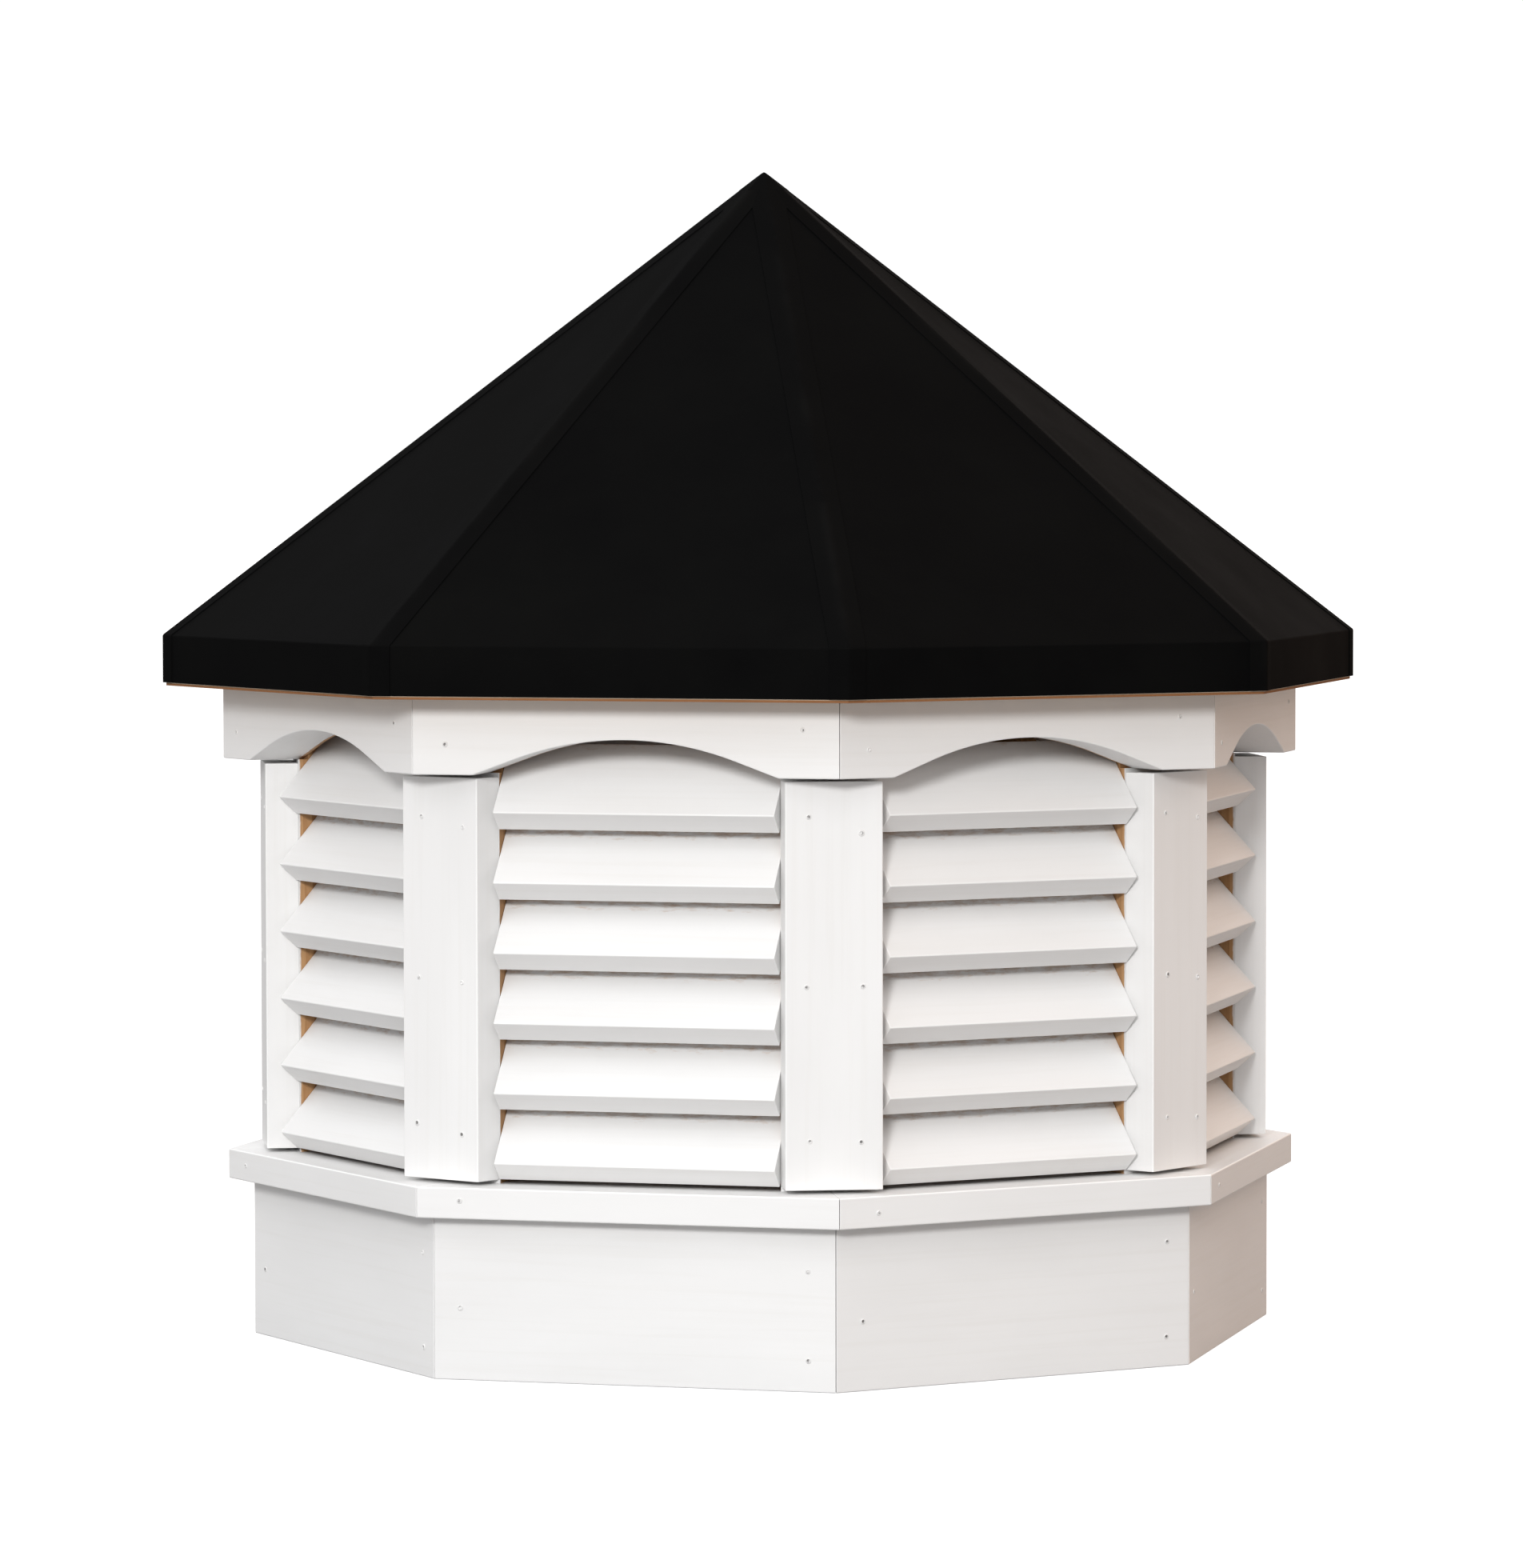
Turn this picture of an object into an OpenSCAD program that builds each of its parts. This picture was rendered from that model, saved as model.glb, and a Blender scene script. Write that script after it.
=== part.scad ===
// Octagonal louvred roof cupola, in millimetres. +Z is up and the origin is on the
// axis at the bottom of the skirt. Face 1 looks along -Y, and the faces count on
// anticlockwise as seen from above.

/* [Skirt and sill] */
// Width of the skirt across its flats
skirt_across = 610; // [500:5:900]
// Height of the skirt panels
skirt_h = 100; // [70:1:300]
// Thickness of the sawn boards
board_t = 19; // [15:0.5:25]
// Width of the flat sill boards
sill_w = 89; // [80:1:110]
// How far the sill stands out past the skirt
sill_overhang = 15; // [5:0.5:25]

/* [Louvred bays] */
// Height from the sill up to the arch boards
bay_h = 250; // [200:1:400]
// Face width of the corner boards
post_w = 59; // [50:0.5:72]
// Thickness of the corner boards
post_t = 21; // [15:0.5:25]
// How far a corner board's face lies in from the corner of the sill
post_setback = 23; // [18:0.5:30]
// Open joint above and below each corner board
post_gap = 2.5; // [0.5:0.1:4]
// Depth of the raw studs behind the corner boards
stud_depth = 38; // [32:0.5:46]
// Width of a louvre slat, along its slope
slat_w = 55; // [42:0.5:60]
// Thickness of a louvre slat
slat_t = 16.5; // [12:0.5:18]
// Slope of the louvre slats from level
slat_slope = 48; // [38:0.5:54]
// Nominal spacing of the slats, evened out over the bay
slat_pitch = 42.6; // [36:0.2:50]
// How far a slat's nose stands out past the back corners of the corner boards
slat_proud = 14; // [5:0.5:20]
// Open height under the lowest slat's nose
slat_foot = 2.5; // [1:0.1:6]
// Open height between the highest slat and the roof base
slat_head = 29; // [24:0.5:36]

/* [Arch boards] */
// Thickness of the arch boards
arch_t = 38; // [30:0.5:42]
// How far the arch boards stand out past the skirt
arch_overhang = 17; // [14:0.5:25]
// Height of the arch boards at their ends
arch_h = 46.5; // [42:0.5:70]
// Width of the arched cut at the bottom of a board
arch_span = 191; // [120:1:200]
// Height of the arched cut
arch_rise = 22; // [8:0.5:24]
// Radius of the arch at its crown, at most that of one plain arc
arch_crown_r = 200; // [90:1:400]

/* [Roof] */
// How far the roof stands out past the arch boards
eave_overhang = 34.5; // [10:0.5:80]
// Pitch of the roof from level
roof_pitch = 39.6; // [25:0.1:50]
// Height of the turned-down drip edge
drip_h = 30; // [26:0.5:60]
// Height of raw board edge left showing below the drip edge
edge_reveal = 2; // [0.5:0.1:5]
// Thickness of the roof covering
cover_t = 1; // [0.8:0.1:3]

/* [Joints] */
// Width of the joint between neighbouring mitred pieces
joint_gap = 0.4; // [0.2:0.1:1.5]
// Clearance between pieces that fit inside each other
fit_gap = 0.3; // [0.1:0.1:1]

/* [Hidden] */
sides = 8;
faces = [1 : sides];
half_angle = 180 / sides;
first_face_angle = -90;

// The heights of the main levels
sill_top = skirt_h + board_t;
arch_bottom = sill_top + bay_h;
roof_base_z = arch_bottom + arch_h;
deck_z = roof_base_z + board_t;
drip_bottom = roof_base_z + edge_reveal;
eave_top = drip_bottom + drip_h;

// Distances from the axis to flat faces
skirt_r = skirt_across / 2;
sill_r = skirt_r + sill_overhang;
arch_r = skirt_r + arch_overhang;
notch_r = arch_r - arch_t - fit_gap;
eave_r = arch_r + eave_overhang;
base_r = eave_r - cover_t - fit_gap;

// The corner boards, measured out along the line of a corner
post_front = sill_r / cos(half_angle) - post_setback;
post_back = post_front - post_t;

// A bay between the back corners of two corner boards
bay_r = post_back * cos(half_angle) + post_w / 2 * sin(half_angle);
bay_half_w = post_back * sin(half_angle) - post_w / 2 * cos(half_angle);

// The slats: the top arris of each nose, and the level of the first and last
nose_r = bay_r + slat_proud;
slat_low_z = sill_top + slat_foot + slat_t * cos(slat_slope);
slat_high_z = roof_base_z - slat_head - slat_w * sin(slat_slope);
slat_steps = round((slat_high_z - slat_low_z) / slat_pitch);
slat_step = (slat_high_z - slat_low_z) / slat_steps;

// The crown's arc, from its centre below the arch to where the straight flanks touch it
arch_half_span = arch_span / 2;
plain_arc_r = (arch_half_span ^ 2 + arch_rise ^ 2) / (2 * arch_rise);
crown_r = min(arch_crown_r, plain_arc_r);
crown_drop = crown_r - arch_rise;
flank_reach = norm([arch_half_span, crown_drop]);
flank_turn = acos(min(1, crown_r / flank_reach));
crown_half_angle = atan2(arch_half_span, crown_drop) - flank_turn;
crown_steps = 12;

// Plumb thickness of a sloping roof layer is its thickness over cos(roof_pitch)
deck_top = eave_top - cover_t / cos(roof_pitch) + (eave_r - base_r) * tan(roof_pitch);
roof_rise = eave_r * tan(roof_pitch);

// How far a cutter runs past what it cuts
over = 1;

function numbered(name) = [for (k = faces) str(name, k)];

// Half the width of a mitred piece at the distance r from the axis
function mitre_half_w(r) = r * tan(half_angle) - joint_gap / 2 / cos(half_angle);

// Outline of a mitred piece from the inner to the outer distance
function mitre_outline(inner, outer) = [
    [inner, -mitre_half_w(inner)],
    [outer, -mitre_half_w(outer)],
    [outer, mitre_half_w(outer)],
    [inner, mitre_half_w(inner)]
];

// Turns children so that +X points out of face k
module on_face(k) {
    rotate([0, 0, first_face_angle + (k - 1) * 2 * half_angle]) children();
}

// Turns children so that +X points out of the corner after face k
module on_corner(k) {
    rotate([0, 0, first_face_angle + (2 * k - 1) * half_angle]) children();
}

// A board along one side of the octagon, with mitred ends
module mitred_board(outer, depth, height) {
    linear_extrude(height) polygon(mitre_outline(outer - depth, outer));
}

// One eighth of the octagon, from the axis out to the distance r
module gore(r, z, height) {
    tip = joint_gap / 2 / sin(half_angle);
    translate([0, 0, z])
        linear_extrude(height)
            polygon([[tip, 0], [r, -mitre_half_w(r)], [r, mitre_half_w(r)]]);
}

// Runs an outline of distance and height along one side of the octagon
module along_side(length) {
    translate([0, length / 2, 0])
        rotate([90, 0, 0])
            linear_extrude(length)
                children();
}

module skirt_panel(k) {
    color("white")
        on_face(k)
            mitred_board(skirt_r, board_t, skirt_h);
}

module sill_board(k) {
    color("white")
        on_face(k)
            translate([0, 0, skirt_h])
                mitred_board(sill_r, sill_w, board_t);
}

// A flat board set square across each corner
module corner_board(k) {
    color("white")
        on_corner(k)
            translate([post_back, -post_w / 2, sill_top + post_gap])
                cube([post_t, post_w, bay_h - 2 * post_gap]);
}

// One slat, with the top arris of its nose on the Y axis
module slat() {
    length = 2 * (bay_half_w - fit_gap);
    along_side(length)
        rotate(-slat_slope)
            translate([-slat_w, -slat_t])
                square([slat_w, slat_t]);
}

// The sloping slats of one bay, which butt against the sides of the studs
module louvre_bank(k) {
    color("white")
        on_face(k)
            for (n = [0 : slat_steps])
                translate([nose_r, 0, slat_low_z + n * slat_step])
                    slat();
}

// A point on the crown's arc, where t runs from -1 to 1 across it
function crown_point(t) = [
    crown_r * sin(t * crown_half_angle),
    crown_r * cos(t * crown_half_angle) - crown_drop
];

// The arched cut: the crown's arc, and the straight flanks that touch it
module arch_cut() {
    crown = [for (n = [-crown_steps : crown_steps]) crown_point(n / crown_steps)];
    left = [[-arch_half_span, -over], [-arch_half_span, 0]];
    right = [[arch_half_span, 0], [arch_half_span, -over]];
    polygon(concat(left, crown, right));
}

module arch_board(k) {
    color("white")
        on_face(k)
            translate([0, 0, arch_bottom])
                difference() {
                    mitred_board(arch_r, arch_t, arch_h);
                    translate([arch_r - arch_t - over, 0, 0])
                        rotate([90, 0, 90])
                            linear_extrude(arch_t + 2 * over)
                                arch_cut();
                }
}

// Plan of a stud: a wedge whose sides are square to the bays
module stud_outline() {
    half_w = post_w / 2;
    back_half_w = half_w - stud_depth * tan(half_angle);
    polygon([
        [post_back, half_w],
        [post_back - stud_depth, back_half_w],
        [post_back - stud_depth, -back_half_w],
        [post_back, -half_w]
    ]);
}

// Raw studs from the sill to the roof base, notched at the top to take the arch boards
module corner_studs() {
    color("burlywood")
        for (k = faces)
            on_corner(k)
                translate([0, 0, sill_top]) {
                    linear_extrude(arch_bottom - sill_top)
                        stud_outline();
                    linear_extrude(roof_base_z - sill_top)
                        intersection() {
                            stud_outline();
                            circle(r = notch_r / cos(half_angle), $fn = sides);
                        }
                }
}

// The octagonal board that closes the roof from below
module roof_base() {
    color("burlywood")
        translate([0, 0, roof_base_z])
            rotate([0, 0, half_angle])
                cylinder(r = base_r / cos(half_angle), h = board_t, $fn = sides);
}

// Eight roof boards, cut level where they stand on the base
module roof_deck() {
    plumb_t = board_t / cos(roof_pitch);
    deck_peak = deck_top + base_r * tan(roof_pitch);
    foot_r = base_r - (deck_z - deck_top + plumb_t) / tan(roof_pitch);
    color("burlywood")
        for (k = faces)
            on_face(k)
                intersection() {
                    gore(base_r, deck_z, deck_peak - deck_z);
                    along_side(2 * eave_r)
                        polygon([
                            [0, deck_peak],
                            [base_r, deck_top],
                            [base_r, deck_z],
                            [foot_r, deck_z],
                            [0, deck_peak - plumb_t]
                        ]);
                }
}

// Eight sheets with a turned-down drip edge, which meet at the hips
module roof_cover() {
    plumb_t = cover_t / cos(roof_pitch);
    peak = eave_top + roof_rise;
    drip_r = eave_r - cover_t;
    fold_z = eave_top - plumb_t + cover_t * tan(roof_pitch);
    color([0.07, 0.07, 0.07])
        for (k = faces)
            on_face(k)
                intersection() {
                    gore(eave_r, drip_bottom, peak - drip_bottom);
                    along_side(2 * eave_r)
                        polygon([
                            [0, peak],
                            [eave_r, eave_top],
                            [eave_r, drip_bottom],
                            [drip_r, drip_bottom],
                            [drip_r, fold_z],
                            [0, peak - plumb_t]
                        ]);
                }
}

for (k = faces) skirt_panel(k);
for (k = faces) sill_board(k);
for (k = faces) corner_board(k);
for (k = faces) louvre_bank(k);
for (k = faces) arch_board(k);
corner_studs();
roof_base();
roof_deck();
roof_cover();
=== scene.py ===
import math

import bpy
import numpy as np
from mathutils import Matrix


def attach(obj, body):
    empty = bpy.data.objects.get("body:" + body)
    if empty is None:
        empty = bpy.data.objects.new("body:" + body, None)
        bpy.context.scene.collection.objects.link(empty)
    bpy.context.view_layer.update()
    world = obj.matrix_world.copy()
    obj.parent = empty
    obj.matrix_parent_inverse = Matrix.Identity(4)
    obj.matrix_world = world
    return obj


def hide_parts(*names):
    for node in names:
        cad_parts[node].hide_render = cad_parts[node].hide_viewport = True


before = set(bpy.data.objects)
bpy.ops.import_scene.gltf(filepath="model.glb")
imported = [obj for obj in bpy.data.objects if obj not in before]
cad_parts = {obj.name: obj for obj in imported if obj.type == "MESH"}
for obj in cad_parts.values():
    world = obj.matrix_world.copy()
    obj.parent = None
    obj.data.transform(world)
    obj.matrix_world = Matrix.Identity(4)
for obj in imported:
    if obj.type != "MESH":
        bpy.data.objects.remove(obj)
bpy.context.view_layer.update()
print("frame loaded")

# Lengths are in metres and z is up. Each side of the octagon is worked out in its own
# coordinates: t along the side, r out from the axis and z up. Side 1 looks along -Y.
mm = 0.001
sides = range(1, 9)
halfSide = math.pi / 8
sharpFrom = math.radians(50)


def faceAngle(k):
    return -math.pi / 2 + (k - 1) * 2 * halfSide


def cornerAngle(k):
    return faceAngle(k) + halfSide


# A CAD node's points as t, r and z, as seen along the direction angle, and only those in
# the eighth of the octagon that this direction runs through
def localPoints(node, angle):
    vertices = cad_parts[node].data.vertices
    flat = np.empty(len(vertices) * 3, np.float32)
    vertices.foreach_get("co", flat)
    x, y, z = flat.reshape(-1, 3).astype(float).T
    t = y * math.cos(angle) - x * math.sin(angle)
    r = x * math.cos(angle) + y * math.sin(angle)
    inside = np.abs(t) < r * math.tan(halfSide) + 0.01 * mm
    return np.stack([t, r, z])[:, inside]


# Lowest and highest t, r and z of those points
def localBox(node, angle):
    points = localPoints(node, angle)
    return points.min(axis=1), points.max(axis=1)


# Turns t, r and z back to x, y and z
def toWorld(t, r, z, angle):
    x = r * math.cos(angle) - t * math.sin(angle)
    y = r * math.sin(angle) + t * math.cos(angle)
    return np.stack(np.broadcast_arrays(x, y, z), axis=-1)


skirtHigh = localBox("skirt_panel_1", faceAngle(1))[1]
mitreGap = skirtHigh[1] * math.tan(halfSide) - skirtHigh[0]


# Half the width of a mitred board at the distance r from the axis
def mitreHalf(r):
    return r * math.tan(halfSide) - mitreGap


# The closed outline of a board: a rectangle whose corners are quarter circles, centred on
# zero. There is one row for each station, because the outline steps in at the board's ends.
def roundedOutline(width, depth, radius, steps=4):
    quarter = np.linspace(0, math.pi / 2, steps + 1)
    turn = (np.arange(4)[:, None] * math.pi / 2 + quarter).ravel()
    signB = np.repeat([1, -1, -1, 1], steps + 1)
    signC = np.repeat([1, 1, -1, -1], steps + 1)
    b = signB * (width / 2 - radius) + radius * np.cos(turn)
    c = signC * (depth / 2 - radius) + radius * np.sin(turn)
    arris = np.tile(np.sin(2 * quarter), 4)
    return b, c, arris


# A board: its outline carried along a, its length. The last stations of each end follow a
# quarter circle, beyond = ease (sin(turn) - 1) and stepIn = ease (1 - cos(turn)), so that
# the end is eased as the long edges are. reach(b, c) is how far the end is from the middle,
# and stations are the places between the ends.
def carryBoard(width, depth, size, reach, stations, steps=3):
    ease = size["ease"]
    turn = np.linspace(0, math.pi / 2, steps + 1)
    zeros = np.zeros(len(stations))
    stepIn = np.r_[ease * (1 - np.cos(turn[::-1])), zeros, ease * (1 - np.cos(turn))]
    beyond = ease * (np.sin(turn) - 1)
    b, c, arris = roundedOutline(
        width - 2 * stepIn[:, None], depth - 2 * stepIn[:, None], size["edge"] - stepIn[:, None])
    ends = reach(b, c) * np.ones_like(b)
    a = np.concatenate([
        -ends[:steps + 1] - beyond[::-1, None],
        np.asarray(stations, float)[:, None] + 0 * b[steps + 1:-steps - 1],
        ends[-steps - 1:] + beyond[:, None]])
    endArris = np.r_[np.sin(2 * turn[::-1]), zeros, np.sin(2 * turn)]
    return a, b, c, np.maximum(arris, endArris[:, None])


# Square ends: the same reach all over the end
def squareEnd(halfLength):
    return lambda b, c: halfLength


# One closed shell of a piece. along, across and depth are the wood's own directions, and
# bare is how far a point lies past the edge of the paint.
def shellOf(points, along, across, depth, bare, arris, rng):
    shift = rng.uniform(-3, 3, 3)
    grain = np.stack(np.broadcast_arrays(along, across, depth), axis=-1) + shift
    shape = points.shape[:2]
    return {"points": points, "grain": grain, "bare": np.broadcast_to(bare, shape),
            "arris": np.broadcast_to(arris, shape)}


# The faces of a tube of rows of points, counted on from start: four-sided between rows, and
# one flat face at each end. The sign of the volume inside tells which way round they have to go.
def tubeFaces(points, start):
    rows, count = points.shape[:2]
    index = np.arange(rows * count).reshape(rows, count)
    nextAlong = np.roll(index, -1, axis=1)
    quads = np.stack([index[:-1], nextAlong[:-1], nextAlong[1:], index[1:]], axis=-1).reshape(-1, 4)
    flat = points.reshape(-1, 3) - points.reshape(-1, 3).mean(axis=0)
    p, q, s, u = (flat[quads[:, n]] for n in range(4))
    volume = (np.cross(p, q) * s).sum() + (np.cross(p, s) * u).sum()
    ends = np.stack([index[0][::-1], index[-1]])
    for loop in flat[ends]:
        volume += (np.cross(loop[1:-1], loop[2:]) * loop[0]).sum()
    way = -1 if volume < 0 else 1
    return (quads[:, ::way] + start).tolist() + (ends[:, ::way] + start).tolist()


# Puts shells into one mesh, which rides on the body and stands for its CAD nodes
def makePiece(name, shells, material, nodes=()):
    points, faces, start = [], [], 0
    for shell in shells:
        faces += tubeFaces(shell["points"], start)
        points.append(shell["points"].reshape(-1, 3))
        start += len(points[-1])
    mesh = bpy.data.meshes.new(name)
    mesh.from_pydata(np.concatenate(points).tolist(), [], faces)
    grain = np.concatenate([shell["grain"].reshape(-1, 3) for shell in shells])
    mesh.attributes.new("grain", "FLOAT_VECTOR", "POINT").data.foreach_set(
        "vector", grain.astype(np.float32).ravel())
    for key in ("bare", "arris"):
        values = np.concatenate([shell[key].ravel() for shell in shells])
        mesh.attributes.new(key, "FLOAT", "POINT").data.foreach_set("value", values.astype(np.float32))
    mesh.polygons.foreach_set("use_smooth", np.ones(len(mesh.polygons), bool))
    mesh.set_sharp_from_angle(angle=sharpFrom)
    mesh.materials.append(material)
    mesh.update()
    piece = bpy.data.objects.new(name, mesh)
    bpy.context.scene.collection.objects.link(piece)
    weighted = piece.modifiers.new("even shading", "WEIGHTED_NORMAL")
    weighted.keep_sharp = True
    weighted.weight = 100
    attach(piece, "root")
    if nodes:
        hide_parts(*nodes)
    return piece


def newMaterial(name):
    material = bpy.data.materials.new(name)
    material.use_nodes = True
    return material, material.node_tree, material.node_tree.nodes["Principled BSDF"]


# Adds a node, gives its sockets numbers or joins other nodes' outputs to them
def addNode(tree, kind, sockets=None, **settings):
    node = tree.nodes.new(kind)
    for key, value in settings.items():
        setattr(node, key, value)
    for key, value in (sockets or {}).items():
        if isinstance(value, bpy.types.NodeSocket):
            tree.links.new(value, node.inputs[key])
        else:
            node.inputs[key].default_value = value
    return node


def attribute(tree, name, output):
    return addNode(tree, "ShaderNodeAttribute", attribute_name=name).outputs[output]


# Noise whose spacing is given along each of the wood's directions, in patterns a metre
def noiseOf(tree, coords, scale, detail=3.0, roughness=0.5, distortion=0.0):
    mapped = addNode(tree, "ShaderNodeMapping", {"Vector": coords, "Scale": scale})
    return addNode(tree, "ShaderNodeTexNoise", {
        "Vector": mapped.outputs[0], "Scale": 1.0, "Detail": detail,
        "Roughness": roughness, "Distortion": distortion}).outputs["Fac"]


def ramp(tree, factor, stops):
    node = addNode(tree, "ShaderNodeValToRGB", {"Fac": factor})
    elements = node.color_ramp.elements
    while len(elements) < len(stops):
        elements.new(0.5)
    for element, (position, colour) in zip(elements, stops):
        element.position = position
        element.color = (*colour, 1)
    return node.outputs["Color"]


def mathOf(tree, operation, first, second, clamp=False):
    node = addNode(tree, "ShaderNodeMath", {0: first, 1: second}, operation=operation)
    node.use_clamp = clamp
    return node.outputs[0]


def rangeOf(tree, value, low, high, outLow, outHigh):
    return addNode(tree, "ShaderNodeMapRange", {
        "Value": value, "From Min": low, "From Max": high,
        "To Min": outLow, "To Max": outHigh}).outputs["Result"]


def mixOf(tree, factor, first, second, blend="MIX"):
    node = addNode(tree, "ShaderNodeMix", data_type="RGBA", blend_type=blend)
    for key, value in ((0, factor), (6, first), (7, second)):
        if isinstance(value, bpy.types.NodeSocket):
            tree.links.new(value, node.inputs[key])
        else:
            node.inputs[key].default_value = value if key == 0 else (*value, 1)
    return node.outputs[2]


def bumpOf(tree, height, strength, distance, under=None):
    sockets = {"Height": height, "Strength": strength, "Distance": distance}
    if under is not None:
        sockets["Normal"] = under
    return addNode(tree, "ShaderNodeBump", sockets).outputs["Normal"]


# Sawn pine. The growth rings are bands across the board that wander along it, the fibre
# is noise drawn out along it, and the saw has left fine marks across it.
pine = {
    "earlyWood": (0.56, 0.33, 0.16),
    "lateWood": (0.38, 0.185, 0.075),
    "ringScale": 62.0,
    "wander": (3.2, 26.0, 26.0),
    "fibre": (16.0, 620.0, 620.0),
    "sawMarks": (520.0, 9.0, 9.0),
    "nextSide": 1.7,
    "sprayBreak": 2 * mm,
    "sprayFade": 0.5 * mm,
}


def pineNodes(tree, coords):
    stretched = addNode(tree, "ShaderNodeMapping", {"Vector": coords, "Scale": (0.06, 1.0, 0.35)})
    rings = addNode(tree, "ShaderNodeTexWave", {
        "Vector": stretched.outputs[0], "Scale": pine["ringScale"], "Distortion": 5.5,
        "Detail": 2.0, "Detail Scale": 1.3, "Detail Roughness": 0.6},
        bands_direction="Y", wave_profile="SAW").outputs["Fac"]
    wander = noiseOf(tree, coords, pine["wander"], 3.0, 0.55)
    fibre = noiseOf(tree, coords, pine["fibre"], 3.0, 0.6)
    sawMarks = noiseOf(tree, coords, pine["sawMarks"], 2.0, 0.5)
    ringShare = mathOf(tree, "MULTIPLY", rings, rangeOf(tree, wander, 0.3, 0.7, 0.25, 1.0))
    wood = mixOf(tree, ringShare, pine["earlyWood"], pine["lateWood"])
    shade = ramp(tree, fibre, [(0.25, (0.80, 0.77, 0.73)), (0.75, (1.0, 1.0, 1.0))])
    colour = mixOf(tree, 0.75, wood, shade, "MULTIPLY")
    height = mathOf(tree, "ADD", fibre, mathOf(tree, "MULTIPLY", sawMarks, 0.7))
    return colour, height


# White satin paint over pine whose grain still shows faintly. Along the arrises its colour is
# made lighter, a painted highlight, and past its edge the overspray fades to bare wood.
paint = {
    "brightest": (0.86, 0.858, 0.854),
    "dullest": (0.815, 0.812, 0.807),
    # arris is a painted highlight: the lighter film colour laid along the arrises
    "arris": (0.92, 0.918, 0.914),
    "patches": (4.0, 13.0, 13.0),
    "grainLines": (5.0, 210.0, 210.0),
    "brushMarks": (20.0, 950.0, 950.0),
    "peel": (820.0, 820.0, 820.0),
    "gloss": (0.36, 0.52),
    "oversprayBreak": (90.0, 340.0, 340.0),
    "oversprayReach": 9 * mm,
    "oversprayFade": 2 * mm,
    "barest": 0.94,
    "bareRougher": 0.4,
}


def satinPaint():
    material, tree, shader = newMaterial("white satin paint")
    coords = attribute(tree, "grain", "Vector")
    patches = noiseOf(tree, coords, paint["patches"], 4.0, 0.55)
    grainLines = noiseOf(tree, coords, paint["grainLines"], 4.0, 0.6, 0.4)
    brushMarks = noiseOf(tree, coords, paint["brushMarks"], 2.0, 0.5)
    peel = noiseOf(tree, coords, paint["peel"], 2.0, 0.5)
    film = ramp(tree, patches, [(0.3, paint["dullest"]), (0.65, paint["brightest"])])
    valleys = ramp(tree, grainLines, [(0.32, (0.982, 0.979, 0.974)), (0.5, (1.0, 1.0, 1.0))])
    film = mixOf(tree, 1.0, film, valleys, "MULTIPLY")
    # Painted highlight: the film is made lighter along the arrises
    film = mixOf(tree, attribute(tree, "arris", "Fac"), film, paint["arris"])
    wood, woodHeight = pineNodes(tree, coords)
    broken = noiseOf(tree, coords, paint["oversprayBreak"], 4.0, 0.7)
    reach = mathOf(tree, "MULTIPLY", mathOf(tree, "SUBTRACT", broken, 0.5), paint["oversprayReach"])
    bare = rangeOf(tree, mathOf(tree, "ADD", attribute(tree, "bare", "Fac"), reach),
                   -paint["oversprayFade"], paint["oversprayFade"], 0.0, paint["barest"])
    colour = mixOf(tree, bare, film, wood)
    tree.links.new(colour, shader.inputs["Base Color"])
    filmGloss = rangeOf(tree, brushMarks, 0.3, 0.7, *paint["gloss"])
    rougher = mathOf(tree, "MULTIPLY", bare, paint["bareRougher"])
    roughness = mathOf(tree, "ADD", filmGloss, rougher, clamp=True)
    tree.links.new(roughness, shader.inputs["Roughness"])
    shader.inputs["Specular IOR Level"].default_value = 0.35
    normal = bumpOf(tree, grainLines, 0.15, 0.3 * mm)
    normal = bumpOf(tree, brushMarks, 0.16, 0.1 * mm, normal)
    normal = bumpOf(tree, peel, 0.1, 0.08 * mm, normal)
    normal = bumpOf(tree, mathOf(tree, "MULTIPLY", woodHeight, bare), 0.5, 0.3 * mm, normal)
    tree.links.new(normal, shader.inputs["Normal"])
    return material


# Bare sawn boards round the octagon. From the distance paintedFrom outwards, the paint that
# was sprayed on their neighbours has caught them too.
def barePine(name, offset, upright, paintedFrom):
    material, tree, shader = newMaterial(name)
    coords = roundTheOctagon(tree, offset, upright)
    wood, height = pineNodes(tree, coords)
    outward = addNode(tree, "ShaderNodeSeparateXYZ", {0: coords}).outputs["Y"]
    broken = noiseOf(tree, coords, paint["oversprayBreak"], 4.0, 0.7)
    reach = mathOf(tree, "MULTIPLY", mathOf(tree, "SUBTRACT", broken, 0.5), pine["sprayBreak"])
    painted = rangeOf(tree, mathOf(tree, "ADD", outward, reach),
                      paintedFrom - pine["sprayFade"], paintedFrom + pine["sprayFade"], 0.0, 1.0)
    colour = mixOf(tree, painted, wood, paint["brightest"])
    tree.links.new(colour, shader.inputs["Base Color"])
    tree.links.new(rangeOf(tree, height, 0.4, 1.3, 0.9, 0.72), shader.inputs["Roughness"])
    shader.inputs["Specular IOR Level"].default_value = 0.25
    tree.links.new(bumpOf(tree, height, 0.6, 0.35 * mm), shader.inputs["Normal"])
    return material


# Plywood: broad wandering figure on its faces, and thin plies of turned grain on its edges
plywood = {
    "faceLight": (0.62, 0.42, 0.23),
    "faceDark": (0.45, 0.26, 0.12),
    "light": (0.88, 0.73, 0.56),
    "dark": (0.30, 0.135, 0.055),
    "glueLine": (0.17, 0.08, 0.035),
    "figure": (3.0, 34.0, 34.0),
    "fibre": (40.0, 900.0, 900.0),
    "plies": 13,
}


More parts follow.
